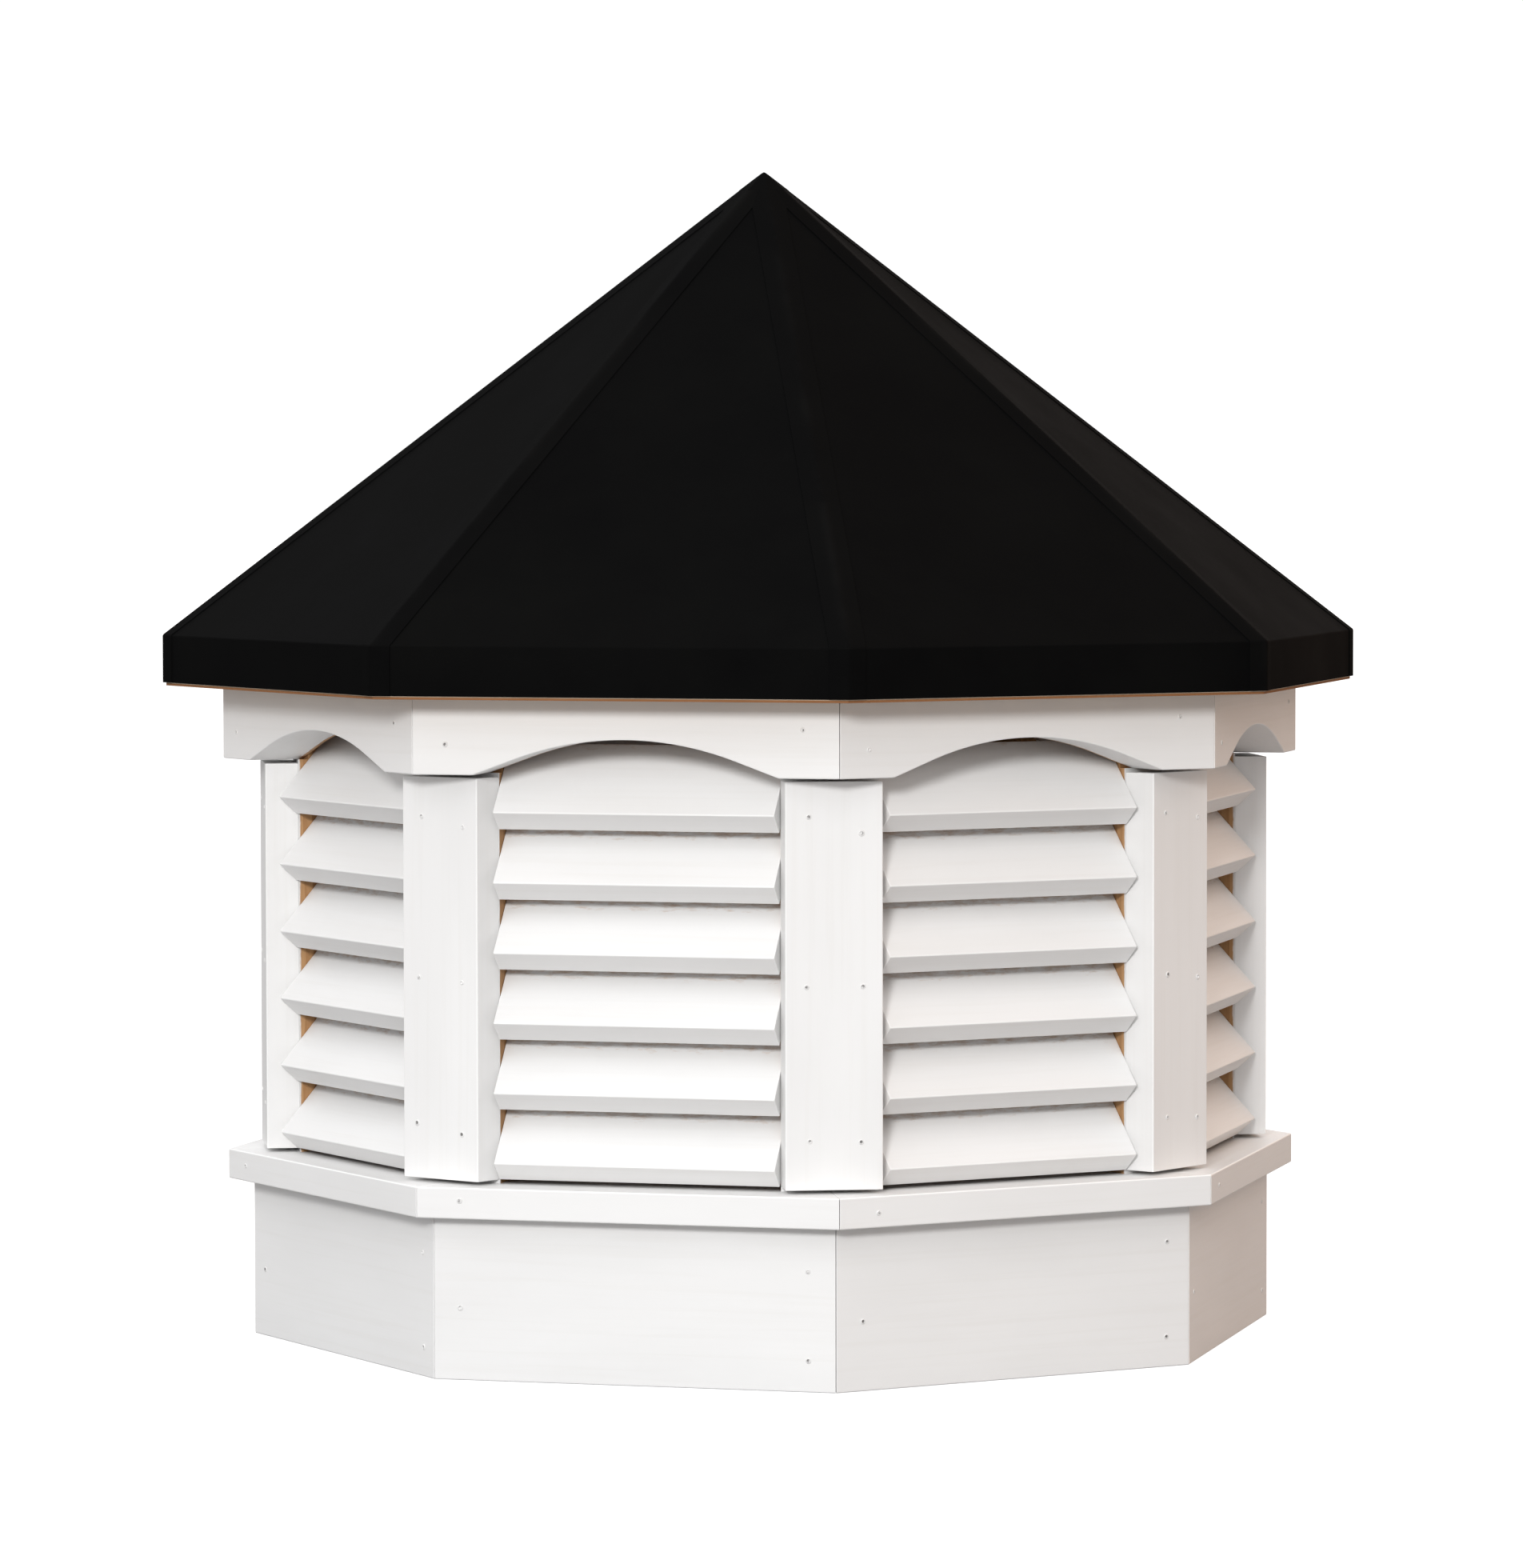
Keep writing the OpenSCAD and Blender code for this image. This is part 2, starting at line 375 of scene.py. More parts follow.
def sawnPlywood(low, high):
    material, tree, shader = newMaterial("sawn plywood")
    coords = addNode(tree, "ShaderNodeTexCoord").outputs["Object"]
    figure = noiseOf(tree, coords, plywood["figure"], 3.0, 0.5, 1.6)
    fibre = noiseOf(tree, coords, plywood["fibre"], 3.0, 0.6)
    face = ramp(tree, figure, [
        (0.36, plywood["faceLight"]), (0.5, plywood["faceDark"]), (0.58, plywood["faceLight"])])
    height = addNode(tree, "ShaderNodeSeparateXYZ", {0: coords}).outputs["Z"]
    level = rangeOf(tree, height, low, high, 0.0, float(plywood["plies"]))
    within = mathOf(tree, "FRACT", level, 0.0)
    turned = mathOf(tree, "MODULO", mathOf(tree, "FLOOR", level, 0.0), 2.0)
    ply = mixOf(tree, turned, plywood["dark"], plywood["light"])
    glue = ramp(tree, within, [(0.0, plywood["glueLine"]), (0.1, (1, 1, 1))])
    edge = mixOf(tree, 0.7, ply, glue, "MULTIPLY")
    upright = addNode(tree, "ShaderNodeSeparateXYZ", {
        0: addNode(tree, "ShaderNodeNewGeometry").outputs["Normal"]}).outputs["Z"]
    onFace = mathOf(tree, "GREATER_THAN", mathOf(tree, "ABSOLUTE", upright, 0.0), 0.5)
    shade = ramp(tree, fibre, [(0.3, (0.82, 0.79, 0.75)), (0.7, (1.0, 1.0, 1.0))])
    colour = mixOf(tree, 0.8, mixOf(tree, onFace, edge, face), shade, "MULTIPLY")
    tree.links.new(colour, shader.inputs["Base Color"])
    tree.links.new(rangeOf(tree, fibre, 0.3, 0.7, 0.88, 0.7), shader.inputs["Roughness"])
    shader.inputs["Specular IOR Level"].default_value = 0.25
    tree.links.new(bumpOf(tree, fibre, 0.5, 0.3 * mm), shader.inputs["Normal"])
    return material


# Matt black factory finish on thin sheet: nearly no gloss, faint mottling and a fine tooth
blackFinish = {
    "deepest": (0.0027, 0.0027, 0.0028),
    "chalkiest": (0.0041, 0.0041, 0.0040),
    "mottle": (9.0, 9.0, 9.0),
    "tooth": (1500.0, 1500.0, 1500.0),
    "worn": (0.0080, 0.0078, 0.0076),
}


def mattBlack():
    material, tree, shader = newMaterial("matt black sheet finish")
    coords = attribute(tree, "grain", "Vector")
    mottle = noiseOf(tree, coords, blackFinish["mottle"], 5.0, 0.6)
    tooth = noiseOf(tree, coords, blackFinish["tooth"], 1.0, 0.5)
    finish = ramp(tree, mottle, [(0.35, blackFinish["deepest"]), (0.7, blackFinish["chalkiest"])])
    wear = mathOf(tree, "MULTIPLY", attribute(tree, "arris", "Fac"),
                  rangeOf(tree, mottle, 0.45, 0.7, 0.0, 0.6))
    colour = mixOf(tree, wear, finish, blackFinish["worn"])
    tree.links.new(colour, shader.inputs["Base Color"])
    tree.links.new(rangeOf(tree, mottle, 0.3, 0.7, 0.7, 0.85), shader.inputs["Roughness"])
    shader.inputs["Specular IOR Level"].default_value = 0.010
    tree.links.new(bumpOf(tree, tooth, 0.2, 0.05 * mm), shader.inputs["Normal"])
    return material


# The octagon's own coordinates, for a CAD node whose pieces run round it: the angle about
# the axis is rounded to the nearest side or corner, and x and y are turned by it. The
# fibre runs along the side, or up a piece that stands, and the pine of the next side is
# taken from further along the same tree.
def roundTheOctagon(tree, offset, upright):
    coords = addNode(tree, "ShaderNodeTexCoord").outputs["Object"]
    split = addNode(tree, "ShaderNodeSeparateXYZ", {0: coords}).outputs
    turn = mathOf(tree, "ARCTAN2", split["Y"], split["X"])
    steps = mathOf(tree, "DIVIDE", mathOf(tree, "SUBTRACT", turn, offset), 2 * halfSide)
    number = mathOf(tree, "ROUND", steps, 0.0)
    angle = mathOf(tree, "ADD", mathOf(tree, "MULTIPLY", number, 2 * halfSide), offset)
    cosine = mathOf(tree, "COSINE", angle, 0.0)
    sine = mathOf(tree, "SINE", angle, 0.0)
    t = mathOf(tree, "SUBTRACT", mathOf(tree, "MULTIPLY", split["Y"], cosine),
               mathOf(tree, "MULTIPLY", split["X"], sine))
    r = mathOf(tree, "ADD", mathOf(tree, "MULTIPLY", split["X"], cosine),
               mathOf(tree, "MULTIPLY", split["Y"], sine))
    fibre, across = (split["Z"], t) if upright else (t, split["Z"])
    shifted = mathOf(tree, "ADD", fibre, mathOf(tree, "MULTIPLY", number, pine["nextSide"]))
    return addNode(tree, "ShaderNodeCombineXYZ", {0: shifted, 1: r, 2: across}).outputs[0]


whitePaint = satinPaint()
postBack = localBox("corner_board_1", cornerAngle(1))[0][1]
eaveReach = localBox("roof_cover", faceAngle(1))[1][1]
sprayBehindPosts = 0.9 * mm
studPine = barePine("sawn studs", halfSide, True, postBack - sprayBehindPosts)
deckPine = barePine("sawn roof boards", 0.0, False, eaveReach)
roofFinish = mattBlack()
print("materials made")

skirt = {
    "edge": 0.9 * mm,
    "ease": 0.45 * mm,
    "stations": (-0.09, 0.0, 0.09),
    "bareDepth": 16 * mm,
    "bareSteep": 4.0,
    "seed": 11,
}


# One flat panel a side, on edge, with its back left bare
def makeSkirt():
    rng = np.random.default_rng(skirt["seed"])
    for k in sides:
        low, high = localBox(f"skirt_panel_{k}", faceAngle(k))
        middle = (low + high) / 2
        height, depth = high[2] - low[2], high[1] - low[1]
        a, b, c, arris = carryBoard(
            height, depth, skirt, lambda b, c: mitreHalf(c + middle[1]), skirt["stations"])
        inward = high[1] - (c + middle[1])
        bare = (inward - skirt["bareDepth"]) * skirt["bareSteep"]
        points = toWorld(a, c + middle[1], b + middle[2], faceAngle(k))
        shell = shellOf(points, a, b, c, bare, arris, rng)
        makePiece(f"skirt_panel_{k}_painted", [shell], whitePaint, [f"skirt_panel_{k}"])


sill = {
    "edge": 1.0 * mm,
    "ease": 0.45 * mm,
    "stations": (-0.08, 0.0, 0.08),
    "bareDepth": 62 * mm,
    "seed": 12,
}


# One flat board a side, mitred over the skirt, with its inner strip left bare
def makeSill():
    rng = np.random.default_rng(sill["seed"])
    for k in sides:
        low, high = localBox(f"sill_board_{k}", faceAngle(k))
        middle = (low + high) / 2
        width, thickness = high[1] - low[1], high[2] - low[2]
        a, b, c, arris = carryBoard(
            width, thickness, sill, lambda b, c: mitreHalf(b + middle[1]), sill["stations"])
        inward = high[1] - (b + middle[1])
        points = toWorld(a, b + middle[1], c + middle[2], faceAngle(k))
        shell = shellOf(points, a, b, c, inward - sill["bareDepth"], arris, rng)
        makePiece(f"sill_board_{k}_painted", [shell], whitePaint, [f"sill_board_{k}"])


makeSkirt()
makeSill()
print("skirt and sill made")

post = {"edge": 0.8 * mm, "ease": 0.6 * mm, "stations": (-0.06, 0.0, 0.06), "seed": 13}

# How bare a piece is that is painted all over
paintedOver = -1.0


# A flat board stands square across each corner, and its wood runs up it
def makePosts():
    rng = np.random.default_rng(post["seed"])
    for k in sides:
        low, high = localBox(f"corner_board_{k}", cornerAngle(k))
        middle = (low + high) / 2
        width, depth, height = high - low
        a, b, c, arris = carryBoard(width, depth, post, squareEnd(height / 2), post["stations"])
        points = toWorld(b + middle[0], c + middle[1], a + middle[2], cornerAngle(k))
        shell = shellOf(points, a, b, c, paintedOver, arris, rng)
        makePiece(f"corner_board_{k}_painted", [shell], whitePaint, [f"corner_board_{k}"])


makePosts()
print("corner boards made")

slat = {
    "count": 6,
    "slope": math.radians(48),
    "width": 55 * mm,
    "thickness": 16.5 * mm,
    "edge": 0.9 * mm,
    "ease": 0.5 * mm,
    "stations": (-0.05, 0.0, 0.05),
    # bareDepth also places painted shade: the bare band falls in the shaded strip under the slat above
    "bareDepth": 43.5 * mm,
    "topBareDepth": 60 * mm,
    "bareSteep": 0.3,
    "seed": 15,
}


# The slats of one bay. A slat slopes in and up from the top arris of its nose: where u is
# the distance in along the slope and v the depth under its top face,
# r = nose - u cos(slope) - v sin(slope) and z = level + u sin(slope) - v cos(slope).
def makeLouvres():
    rng = np.random.default_rng(slat["seed"])
    cosine, sine = math.cos(slat["slope"]), math.sin(slat["slope"])
    for k in sides:
        low, high = localBox(f"louvre_bank_{k}", faceAngle(k))
        lowest = low[2] + slat["thickness"] * cosine
        highest = high[2] - slat["width"] * sine
        shells = []
        for level in np.linspace(lowest, highest, slat["count"]):
            a, b, c, arris = carryBoard(
                slat["width"], slat["thickness"], slat, squareEnd(high[0]), slat["stations"])
            u = slat["width"] / 2 - b
            v = slat["thickness"] / 2 - c
            r = high[1] - u * cosine - v * sine
            points = toWorld(a, r, level + u * sine - v * cosine, faceAngle(k))
            # Up the slope past bareDepth the slat turns to bare wood. This is partly thin overspray and
            # partly painted shade: a warmer, darker band in the strip under the slat above, where shade
            # falls.
            bareDepth = slat["topBareDepth"] if level == highest else slat["bareDepth"]
            bare = (u - bareDepth) * slat["bareSteep"]
            shells.append(shellOf(points, a, b, c, bare, arris, rng))
        makePiece(f"louvre_bank_{k}_painted", shells, whitePaint, [f"louvre_bank_{k}"])


makeLouvres()
print("louvres made")

arch = {
    "edge": 0.9 * mm,
    "ease": 0.45 * mm,
    "halfSpan": 95.5 * mm,
    "rise": 22 * mm,
    "crownRadius": 200 * mm,
    "kink": 0.4 * mm,
    "crownStations": 61,
    "crownInset": 2 * mm,
    "endStation": 0.115,
    "bareDepth": 35 * mm,
    "bareSteep": 4.0,
    "seed": 16,
}


# Height of the arched cut at t: a circle over the crown, and straight flanks that touch it
# and run down to the ends of the span
def archLift(t):
    drop = arch["crownRadius"] - arch["rise"]
    flankReach = math.hypot(arch["halfSpan"], drop)
    touch = math.atan2(arch["halfSpan"], drop) - math.acos(arch["crownRadius"] / flankReach)
    touchT = arch["crownRadius"] * math.sin(touch)
    touchZ = arch["crownRadius"] * math.cos(touch) - drop
    out = np.abs(t)
    crown = np.sqrt(arch["crownRadius"] ** 2 - np.minimum(out, touchT) ** 2) - drop
    flank = touchZ * (arch["halfSpan"] - out) / (arch["halfSpan"] - touchT)
    return np.where(out < touchT, crown, np.maximum(flank, 0))


# The board's outline is carried along its side, and its lower half is lifted by the arch.
# Three stations lie close together at each foot of the arch, so that it bends sharply there.
def makeArchBoards():
    rng = np.random.default_rng(arch["seed"])
    span, kink, end = arch["halfSpan"], arch["kink"], arch["endStation"]
    crownHalf = span - arch["crownInset"]
    inside = np.linspace(-crownHalf, crownHalf, arch["crownStations"])
    stations = np.unique(np.r_[-end, -span - kink, -span, -span + kink, inside,
                               span - kink, span, span + kink, end])
    for k in sides:
        low, high = localBox(f"arch_board_{k}", faceAngle(k))
        middle = (low + high) / 2
        height, depth = high[2] - low[2], high[1] - low[1]
        a, b, c, arris = carryBoard(height, depth, arch, lambda b, c: mitreHalf(c + middle[1]), stations)
        lifted = b + archLift(a) * (b < 0)
        inward = high[1] - (c + middle[1])
        bare = (inward - arch["bareDepth"]) * arch["bareSteep"]
        points = toWorld(a, c + middle[1], lifted + middle[2], faceAngle(k))
        shell = shellOf(points, a, lifted, c, bare, arris, rng)
        makePiece(f"arch_board_{k}_painted", [shell], whitePaint, [f"arch_board_{k}"])


makeArchBoards()
print("arch boards made")

roof = {
    "thickness": 1.0 * mm,
    "foldRadius": 1.6 * mm,
    "start": 7 * mm,
    "slopeStations": 40,
    "foldStations": 6,
    "dripStations": 7,
    "ripple": 0.35 * mm,
    "waves": ((3.1, 5), (5.3, -9), (0, 14)),
    "stripStart": 6 * mm,
    "stripHalfWidth": 11 * mm,
    "stripProud": 0.7 * mm,
    "stripSunk": 0.3 * mm,
    "stripCrest": 0.9 * mm,
    "stripWorn": 3 * mm,
    "capReach": 15 * mm,
    "capProud": 0.85 * mm,
    "capTip": 0.8 * mm,
    "capMiddle": 0.2 * mm,
    "capLip": ((0.3 * mm, 0.5 * mm), (0.1 * mm, 1.0 * mm), (-3.0 * mm, 1.0 * mm)),
    "seed": 18,
}
coverPoints = localPoints("roof_cover", faceAngle(1))
dripBottom = coverPoints[2].min()
eaveTop = coverPoints[2][coverPoints[1] > eaveReach - 0.01 * mm].max()
tip = coverPoints[:, coverPoints[2].argmax()]
roofSlope = (tip[2] - eaveTop) / (eaveReach - tip[1])
roofPeak = tip[2] + roofSlope * tip[1]
roofPitch = math.atan(roofSlope)


# The section of the roof's outer face, as distance out and height: down the slope, round
# the fold at the eave and down the drip edge. proud moves it out, square to itself.
def roofSection(start, proud):
    radius, slopeCount, dripCount = roof["foldRadius"], roof["slopeStations"], roof["dripStations"]
    cut = radius * math.tan((math.pi / 2 - roofPitch) / 2)
    foot = eaveReach - cut * math.cos(roofPitch)
    d = np.linspace(start, foot, slopeCount)
    slopeZ = roofPeak - roofSlope * d
    turn = np.linspace(roofPitch, math.pi / 2, roof["foldStations"] + 2)[1:-1]
    arcD = eaveReach - radius + radius * np.sin(turn)
    arcZ = eaveTop - cut + radius * np.cos(turn)
    dropZ = np.linspace(eaveTop - cut, dripBottom, dripCount)
    out = np.r_[d, arcD, np.full(dripCount, eaveReach)]
    height = np.r_[slopeZ, arcZ, dropZ]
    normalTurn = np.r_[np.full(slopeCount, roofPitch), turn, np.full(dripCount, math.pi / 2)]
    return out + proud * np.sin(normalTurn), height + proud * np.cos(normalTurn)


# One sheet a side: the section carried across from hip to hip, where t = share times the
# mitred half width. Its flat ripples very slightly: the mean of a few waves, each of them
# sin(across share + down slopeShare + phase), faded out at the sheet's borders.
def makeRoofSheets():
    rng = np.random.default_rng(roof["seed"])
    shells = []
    outer = roofSection(roof["start"], 0.0)
    inner = roofSection(roof["start"], -roof["thickness"])
    out = np.r_[outer[0], inner[0][::-1]]
    height = np.r_[outer[1], inner[1][::-1]]
    share = np.linspace(-1, 1, 33)[:, None]
    for k in sides:
        phase = rng.uniform(0, 2 * math.pi, len(roof["waves"]))
        slopeShare = np.clip(out / eaveReach, 0, 1)
        window = (1 - share ** 2) * np.sin(math.pi * slopeShare) * (height > eaveTop)
        waves = [np.sin(across * share + down * slopeShare + start)
                 for (across, down), start in zip(roof["waves"], phase)]
        lift = roof["ripple"] * window * np.mean(waves, axis=0)
        t = share * mitreHalf(out)
        r = out + lift * math.sin(roofPitch)
        points = toWorld(t, r, height + lift * math.cos(roofPitch), faceAngle(k))
        shells.append(shellOf(points, t, out + 0 * t, height + 0 * t, 0.0, 0.0, rng))
    return shells


# A folded strip on each hip. Across it, the side's own distance out is
# r cos(22.5) + |t| sin(22.5), so r follows from the section, and |t| is rounded at the crest.
def makeHipStrips():
    rng = np.random.default_rng(roof["seed"] + 1)
    half, crest = roof["stripHalfWidth"], roof["stripCrest"]
    t = np.linspace(-half, half, 17)
    side = np.sqrt(t ** 2 + crest ** 2) - crest * (1 - np.abs(t) / half)
    outer = roofSection(roof["start"] + roof["stripStart"], roof["stripProud"])
    inner = roofSection(roof["start"] + roof["stripStart"], -roof["stripSunk"])
    arris = np.r_[np.exp(-(t / roof["stripWorn"]) ** 2), 0 * t]
    shells = []
    for k in sides:
        rows = []
        for (d, z), across in ((outer, slice(None)), (inner, slice(None, None, -1))):
            r = (d[:, None] - side[across] * math.sin(halfSide)) / math.cos(halfSide)
            rows.append(toWorld(t[across] + 0 * r, r, z[:, None] + 0 * r, cornerAngle(k)))
        points = np.concatenate(rows, axis=1)
        along = np.linspace(0, 0.5, points.shape[0])[:, None]
        across = np.r_[t, t[::-1]] + 0 * along
        shells.append(shellOf(points, along + 0 * across, across, 0 * across, 0.0, arris, rng))
    return shells


# A small cap on the peak: rings of the same octagon, d from the axis at the sides, where the
# distance at a corner is d / cos(22.5), falling as the roof does and rounded at the top. Its
# lip gives how far the last rings lie beyond its edge and how far they lie below it.
def makePeakCap():
    rng = np.random.default_rng(roof["seed"] + 2)
    turn = np.linspace(0, 2 * math.pi, 65)[:-1]
    fromSide = (turn + halfSide) % (2 * halfSide) - halfSide
    d = np.r_[roof["capMiddle"], np.linspace(1 * mm, roof["capReach"], 12)]
    lift = roof["capProud"] / math.cos(roofPitch)
    z = roofPeak + lift - roofSlope * np.sqrt(d ** 2 + roof["capTip"] ** 2)
    beyond, below = np.array(roof["capLip"]).T
    d = np.r_[d, roof["capReach"] + beyond, roof["capMiddle"]]
    z = np.r_[z, z[-1] - below, z[-1] - below[-1]]
    r = d[:, None] / np.cos(fromSide)
    points = np.stack(np.broadcast_arrays(r * np.cos(turn), r * np.sin(turn), z[:, None]), axis=-1)
    return [shellOf(points, r, 0 * r, z[:, None] + 0 * r, 0.0, 0.0, rng)]


makePiece("roof_sheets", makeRoofSheets(), roofFinish, ["roof_cover"])
makePiece("hip_strips", makeHipStrips(), roofFinish)
makePiece("peak_cap", makePeakCap(), roofFinish)

baseLow, baseHigh = localBox("roof_base", faceAngle(1))
sawnWood = {
    "corner_studs": studPine,
    "roof_base": sawnPlywood(baseLow[2], baseHigh[2]),
    "roof_deck": deckPine,
}
for nodeName, material in sawnWood.items():
    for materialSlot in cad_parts[nodeName].material_slots:
        materialSlot.material = material
print("roof made")

# Places are in millimetres from the ends and edges of a board, and wander is how far the
# nailer's hand strays from them. rings are a mark's radii, heights and painted shade there.
# Marks differ in size and lean by up to tilt.
nails = {
    "rings": ((0.05, 0.03, 1.0), (0.45, 0.04, 1.0), (0.75, 0.14, 0.9), (1.0, 0.40, 0.4),
              (1.2, 0.46, 0.0), (1.45, 0.32, 0.0), (1.85, -0.15, 0.1)),
    "points": 16,
    "wander": 2.6,
    "sizes": (0.85, 1.15),
    "tilt": 0.05,
    "paintedShadePatches": (330.0, 330.0, 330.0),
    "postSpots": ((13, 31), (-13, 29), (13, 122), (-13, 120), (13, 222), (-13, 216)),
    "skirtSpots": ((17, 42), (-16, 75), (-16, 18)),
    "archSpots": ((20, 16), (-24, 31)),
    "sillSpots": ((25, 10),),
    "fill": (0.80, 0.797, 0.79),
    "paintedDipShade": (0.17, 0.165, 0.16),
    "seed": 19,
}


# The filler of a nail mark: paint over a low ring, with painted shade (darker colour in place of a
# shadow) in one side of its dip
def nailFiller():
    material, tree, shader = newMaterial("painted nail filler")
    coords = attribute(tree, "grain", "Vector")
    patches = noiseOf(tree, coords, nails["paintedShadePatches"], 2.0, 0.5)
    fine = noiseOf(tree, coords, paint["peel"], 2.0, 0.5)
    # Painted shade: darker colour in the dip of the ring, broken into crescents by patches
    paintedDipShadeMask = mathOf(tree, "MULTIPLY", attribute(tree, "arris", "Fac"),
                   rangeOf(tree, patches, 0.40, 0.56, 0.0, 1.0))
    tree.links.new(mixOf(tree, paintedDipShadeMask, nails["fill"], nails["paintedDipShade"]), shader.inputs["Base Color"])
    tree.links.new(rangeOf(tree, fine, 0.3, 0.7, 0.45, 0.65), shader.inputs["Roughness"])
    tree.links.new(bumpOf(tree, fine, 0.25, 0.1 * mm), shader.inputs["Normal"])
    return material


# One nail's mark at t and z on the face of a board at r: rings of points round its middle,
# each at its own height, the whole of it leaning a little
def nailMark(t, z, r, angle, rng):
    # The third column of the rings is how much painted shade lies in the dip there
    radius, proud, paintedDipShade = np.array(nails["rings"]).T[:, :, None]
    turn = np.linspace(0, 2 * math.pi, nails["points"] + 1)[:-1]
    size = rng.uniform(*nails["sizes"]) * mm
    lean = rng.uniform(-nails["tilt"], nails["tilt"], 2)
    across = size * radius * np.cos(turn)
    upward = size * radius * np.sin(turn)
    out = proud * mm + across * lean[0] + upward * lean[1]
    points = toWorld(t + across, r + out, z + upward, angle)
    return shellOf(points, across, upward, out, paintedOver, paintedDipShade, rng)


# The places of one board's nails as t and z. A negative distance counts from the far end.
def nailPlaces(box, spots, rng):
    low, high = box
    places = []
    for fromEnd, fromLow in spots:
        end = low[0] if fromEnd > 0 else high[0]
        places.append((end + fromEnd * mm, low[2] + fromLow * mm))
    return places + rng.uniform(-nails["wander"], nails["wander"], (len(places), 2)) * mm


def makeNailMarks():
    rng = np.random.default_rng(nails["seed"])
    filler = nailFiller()
    for name, key, angleOf in (
            ("skirt_panel", "skirtSpots", faceAngle),
            ("arch_board", "archSpots", faceAngle),
            ("sill_board", "sillSpots", faceAngle),
            ("corner_board", "postSpots", cornerAngle)):
        shells = []
        for k in sides:
            box = localBox(f"{name}_{k}", angleOf(k))
            for t, z in nailPlaces(box, nails[key], rng):
                shells.append(nailMark(t, z, box[1][1], angleOf(k), rng))
        makePiece(f"nail_marks_{name}s", shells, filler)


makeNailMarks()
print("nail marks made")

# Each glow in the sky has the direction it is in, its colour, and how nearly another direction
# points at it where it begins and where it is full
stage = {
    "floorRadius": 60.0,
    "floorTones": ((0.30, 0.30, 0.303), (0.32, 0.32, 0.32)),
    "floorGlow": 0.9,
    "skyUp": (1.16, 1.16, 1.168),
    "skyDown": (0.32, 0.32, 0.322),
    "glows": (
        ((0.45, 0.893, 0.0), (1.14, 0.64, 0.34), 0.30, 0.85),
        ((-0.70, -0.42, 0.58), (1.22, 1.22, 1.23), 0.74, 0.97),
        ((-0.42, 0.85, 0.33), (1.20, 1.20, 1.21), 0.62, 0.95)),
    "backdrop": 1.05,
    "keyTurn": 6.0,
    "keyRise": 15.5,
    "keyDistance": 5.0,
    "keySize": 0.8,
    "keyPower": 123.0,
    "keyColour": (1.0, 0.995, 0.988),
    "keyAim": 0.3,
}


# A pale round floor. It glows a little for the camera alone, so that it meets the backdrop
def makeFloor():
    turn = np.linspace(0, 2 * math.pi, 97)[:-1]
    rim = np.stack([np.cos(turn), np.sin(turn), 0 * turn], axis=-1) * stage["floorRadius"]
    mesh = bpy.data.meshes.new("pale_floor")
    mesh.from_pydata(rim.tolist(), [], [list(range(len(turn)))])
    floor = bpy.data.objects.new("pale_floor", mesh)
    bpy.context.scene.collection.objects.link(floor)
    material, tree, shader = newMaterial("pale floor")
    coords = addNode(tree, "ShaderNodeTexCoord").outputs["Object"]
    cloud = noiseOf(tree, coords, (1.5, 1.5, 1.5), 2.0)
    tree.links.new(mixOf(tree, cloud, *stage["floorTones"]), shader.inputs["Base Color"])
    shader.inputs["Roughness"].default_value = 0.9
    shader.inputs["Specular IOR Level"].default_value = 0.0
    seen = addNode(tree, "ShaderNodeLightPath").outputs["Is Camera Ray"]
    shader.inputs["Emission Color"].default_value = (1, 1, 1, 1)
    tree.links.new(mathOf(tree, "MULTIPLY", seen, stage["floorGlow"]), shader.inputs["Emission Strength"])
    mesh.materials.append(material)


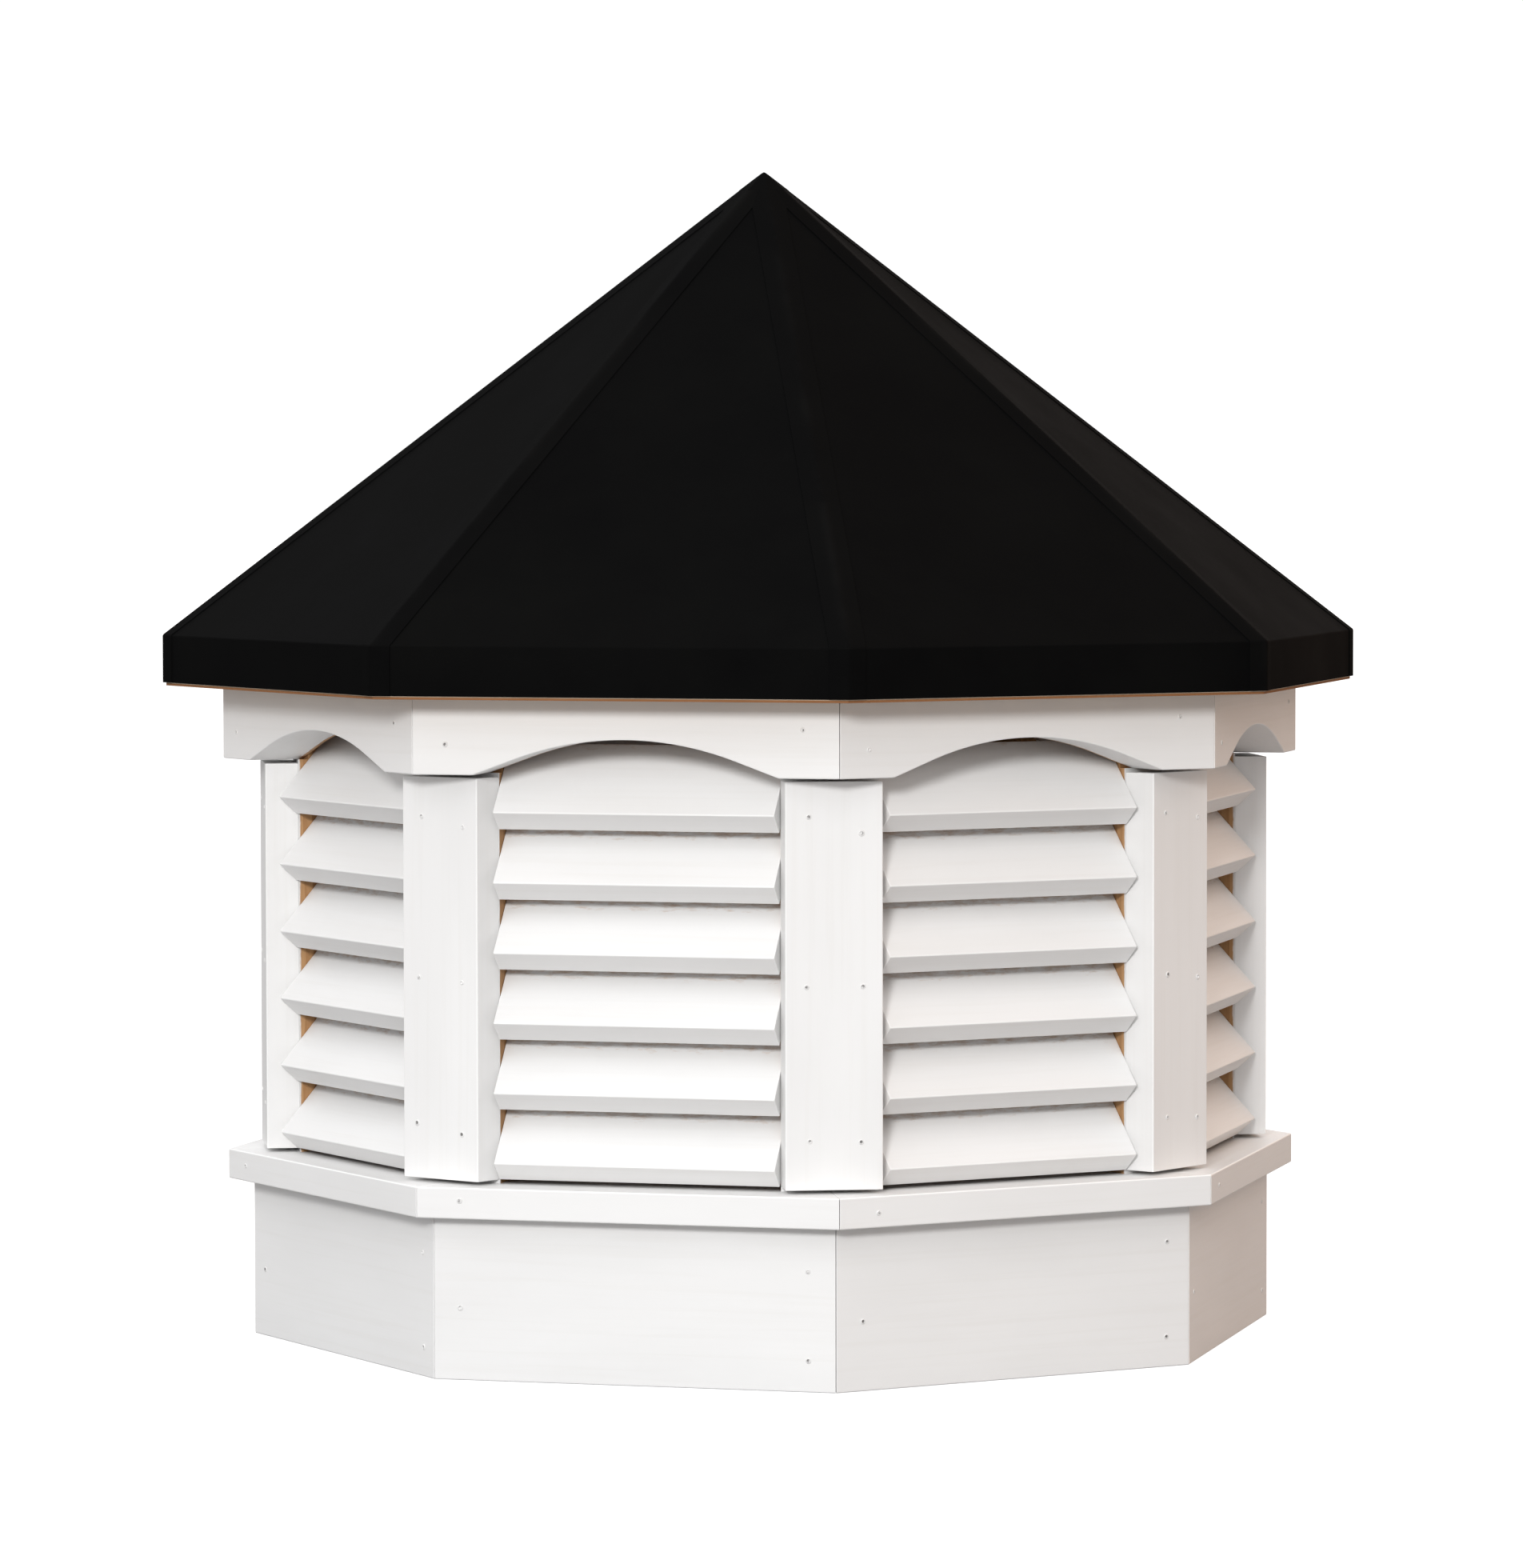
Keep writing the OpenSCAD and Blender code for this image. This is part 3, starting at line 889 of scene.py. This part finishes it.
# Even light from all round, brighter from above, with soft glows in it
def makeSky():
    world = bpy.data.worlds.new("soft room")
    bpy.context.scene.world = world
    world.use_nodes = True
    tree = world.node_tree
    direction = addNode(tree, "ShaderNodeTexCoord").outputs["Generated"]
    split = addNode(tree, "ShaderNodeSeparateXYZ", {0: direction}).outputs
    upShare = rangeOf(tree, split["Z"], 0.1, 0.7, 0.0, 1.0)
    tone = mixOf(tree, upShare, stage["skyDown"], stage["skyUp"])
    for place, colour, low, high in stage["glows"]:
        towards = addNode(tree, "ShaderNodeVectorMath", {0: direction, 1: place},
                          operation="DOT_PRODUCT").outputs["Value"]
        tone = mixOf(tree, rangeOf(tree, towards, low, high, 0.0, 1.0), tone, colour)
    seen = addNode(tree, "ShaderNodeLightPath").outputs["Is Camera Ray"]
    tone = mixOf(tree, seen, tone, (stage["backdrop"],) * 3)
    tree.links.new(tone, tree.nodes["Background"].inputs["Color"])


def makeKeyLight():
    lamp = bpy.data.lights.new("soft key", "AREA")
    lamp.shape = "DISK"
    lamp.size = stage["keySize"]
    lamp.energy = stage["keyPower"]
    lamp.color = stage["keyColour"]
    turn, rise = math.radians(stage["keyTurn"]), math.radians(stage["keyRise"])
    back = np.array([math.sin(turn) * math.cos(rise), -math.cos(turn) * math.cos(rise), math.sin(rise)])
    aim = np.array([0, 0, stage["keyAim"]])
    holder = bpy.data.objects.new("soft_key", lamp)
    bpy.context.scene.collection.objects.link(holder)
    holder.matrix_world = lookAlong(back, aim + back * stage["keyDistance"], 0.0)


# A matrix whose -Z looks against back, with its X level, then rolled about that line
def lookAlong(back, place, roll):
    right = np.cross([0, 0, 1], back)
    right = right / np.linalg.norm(right)
    up = np.cross(back, right)
    rolledRight = right * math.cos(roll) + up * math.sin(roll)
    rolledUp = up * math.cos(roll) - right * math.sin(roll)
    matrix = np.eye(4)
    matrix[:3, :4] = np.stack([rolledRight, rolledUp, back, place], axis=1)
    return Matrix(matrix.tolist())


camera = {
    "turn": 15.195,
    "pitch": 2.7604,
    "roll": -0.0015,
    "distance": 4.3368,
    "height": 0.5588,
    "aside": -0.0022,
    "lens": 154.6,
}


def makeCamera():
    data = bpy.data.cameras.new("front view")
    data.lens = camera["lens"]
    data.sensor_width = 36
    data.clip_end = 200
    turn, pitch = math.radians(camera["turn"]), math.radians(camera["pitch"])
    level = np.array([math.sin(turn), -math.cos(turn), 0])
    right = np.array([math.cos(turn), math.sin(turn), 0])
    place = level * camera["distance"] + right * camera["aside"] + np.array([0, 0, camera["height"]])
    back = level * math.cos(pitch) + np.array([0, 0, math.sin(pitch)])
    holder = bpy.data.objects.new("front_view", data)
    bpy.context.scene.collection.objects.link(holder)
    holder.matrix_world = lookAlong(back, place, camera["roll"])
    bpy.context.scene.camera = holder


makeFloor()
makeSky()
makeKeyLight()
makeCamera()
bpy.context.scene.view_settings.view_transform = "Standard"
print("stage, light and camera made")
